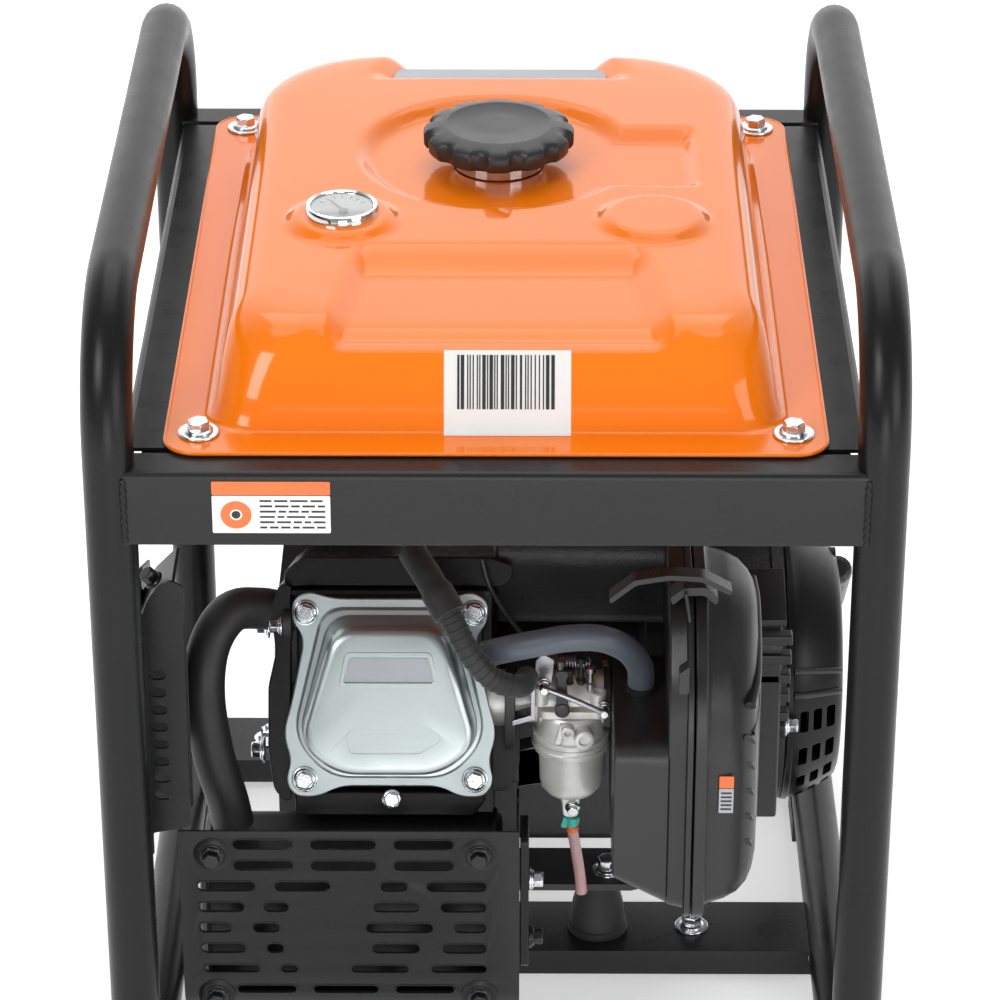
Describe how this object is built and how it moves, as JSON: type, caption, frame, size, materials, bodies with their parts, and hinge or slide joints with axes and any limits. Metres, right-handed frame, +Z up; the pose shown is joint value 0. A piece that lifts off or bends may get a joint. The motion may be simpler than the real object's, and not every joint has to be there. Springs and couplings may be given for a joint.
{
  "type": "portable generator",
  "caption": "Open-frame portable generator: black tube frame, orange pressed fuel tank on top, inclined single-cylinder engine with alternator, muffler and air cleaner.",
  "frame": {"origin": "middle of the footprint, on the surface that the feet stand on", "axes": "+Z up; -Y is the side with the valve cover, muffler and carburettor; +X is the recoil starter's end"},
  "size_m": [0.3986, 0.4566, 0.4961],
  "materials": {
    "frame_paint": "satin black powder coat",
    "rubber": "matte black",
    "tank_paint": "gloss orange",
    "plated_steel": "bright zinc plate",
    "black_plastic": "moulded satin black",
    "chrome_ring": "polished",
    "clear_lens": "clear",
    "engine_casting": "black painted casting",
    "cast_aluminium": "as cast",
    "pressed_cover": "satin silver pressed sheet",
    "machined_steel": "machined",
    "stator_winding": "enamelled copper winding",
    "black_paint": "satin black paint",
    "heat_black": "matte high-temperature black",
    "carburettor_zinc": "warm grey die casting",
    "drain_hose": "translucent pinkish tube",
    "grey_hose": "satin grey-blue",
    "foam": "open foam",
    "red_plastic": "gloss red"
  },
  "bodies": {
    "root": {"frame_loop_left": "frame_paint", "frame_loop_right": "frame_paint", "front_beam": "frame_paint", "rear_beam": "frame_paint", "cradle_rail_left": "frame_paint", "cradle_rail_right": "frame_paint", "front_cross_member": "frame_paint", "rear_cross_member": "frame_paint", "foot_front_left": "rubber", "foot_front_right": "rubber", "foot_rear_left": "rubber", "foot_rear_right": "rubber", "tank_upper_shell": "tank_paint", "tank_lower_shell": "tank_paint", "filler_neck": "plated_steel", "fuel_gauge_body": "chrome_ring", "fuel_gauge_lens": "clear_lens", "tank_bolt_front_left": "plated_steel", "tank_bolt_front_right": "plated_steel", "tank_bolt_rear_left": "plated_steel", "tank_bolt_rear_right": "plated_steel", "engine_block": "engine_casting", "crankcase_cover": "cast_aluminium", "cylinder_head": "engine_casting", "valve_cover": "pressed_cover", "alternator_stator": "stator_winding", "fan_housing": "black_plastic", "recoil_cover": "black_paint", "spark_plug_boot": "rubber", "spark_plug_lead": "rubber", "exhaust_pipe": "heat_black", "muffler_body": "heat_black", "muffler_guard": "black_paint", "exhaust_side_shield": "black_paint", "carburetor_body": "carburettor_zinc", "float_bowl": "carburettor_zinc", "fuel_drain_hose": "drain_hose", "breather_hose": "grey_hose", "air_cleaner_case": "black_plastic", "filter_element": "foam", "engine_mount_front_left": "rubber", "engine_mount_front_right": "rubber", "engine_mount_rear_left": "rubber", "engine_mount_rear_right": "rubber", "engine_bracket_front": "machined_steel", "engine_bracket_rear": "machined_steel", "control_panel": "black_paint", "inverter_module": "cast_aluminium"},
    "crankshaft": {"crankshaft": "machined_steel", "alternator_rotor": "machined_steel"},
    "recoil_pulley": {"recoil_pulley": "black_plastic"},
    "recoil_handle": {"recoil_handle": "black_plastic"},
    "fuel_cap_core": {"fuel_cap_core": "rubber"},
    "fuel_cap": {"fuel_cap_knob": "black_plastic"},
    "choke_lever": {"choke_lever": "black_plastic"},
    "air_cleaner_cover": {"air_cleaner_cover": "black_plastic"},
    "oil_dipstick": {"oil_dipstick": "red_plastic"},
    "engine_switch": {"engine_switch": "red_plastic"},
    "breaker_button": {"breaker_button": "red_plastic"},
    "outlet_flap": {"outlet_flap": "black_plastic"}
  },
  "joints": [
    {"name": "crankshaft_spin", "type": "hinge", "parent": "root", "child": "crankshaft", "pos_m": [0, 0.034, 0.155], "axis": [1, 0, 0], "continuous": true},
    {"name": "recoil_pull", "type": "slide", "parent": "root", "child": "recoil_handle", "axis": [1, 0, 0], "range_m": [0, 0.45], "stiffness_N_per_m": 20},
    {"name": "recoil_pulley_turn", "type": "hinge", "parent": "root", "child": "recoil_pulley", "pos_m": [0.17, 0.034, 0.155], "axis": [1, 0, 0], "range_deg": [0, 680]},
    {"name": "fuel_cap_lift", "type": "slide", "parent": "root", "child": "fuel_cap_core", "axis": [0, 0, 1], "range_m": [0, 0.08]},
    {"name": "fuel_cap_turn", "type": "hinge", "parent": "fuel_cap_core", "child": "fuel_cap", "pos_m": [0, 0.044, 0.47], "axis": [0, 0, 1], "range_deg": [0, 90]},
    {"name": "choke_swing", "type": "hinge", "parent": "root", "child": "choke_lever", "pos_m": [0.034, -0.1305, 0.222], "axis": [0, 1, 0], "range_deg": [0, 55]},
    {"name": "air_cleaner_cover_off", "type": "slide", "parent": "root", "child": "air_cleaner_cover", "axis": [1, 0, 0], "range_m": [0, 0.15]},
    {"name": "dipstick_pull", "type": "slide", "parent": "root", "child": "oil_dipstick", "axis": [0, 1, 0], "range_m": [0, 0.07]},
    {"name": "switch_rock", "type": "hinge", "parent": "root", "child": "engine_switch", "pos_m": [-0.11, 0.207, 0.286], "axis": [1, 0, 0], "range_deg": [-10, 10]},
    {"name": "breaker_press", "type": "slide", "parent": "root", "child": "breaker_button", "axis": [0, -1, 0], "range_m": [0, 0.003], "stiffness_N_per_m": 150},
    {"name": "outlet_flap_swing", "type": "hinge", "parent": "root", "child": "outlet_flap", "pos_m": [0.05, 0.2137, 0.31], "axis": [1, 0, 0], "range_deg": [0, 110]}
  ],
  "couplings": [
    {"joint": "recoil_pulley_turn", "follows": "recoil_pull", "rad_per_m": 26}
  ]
}
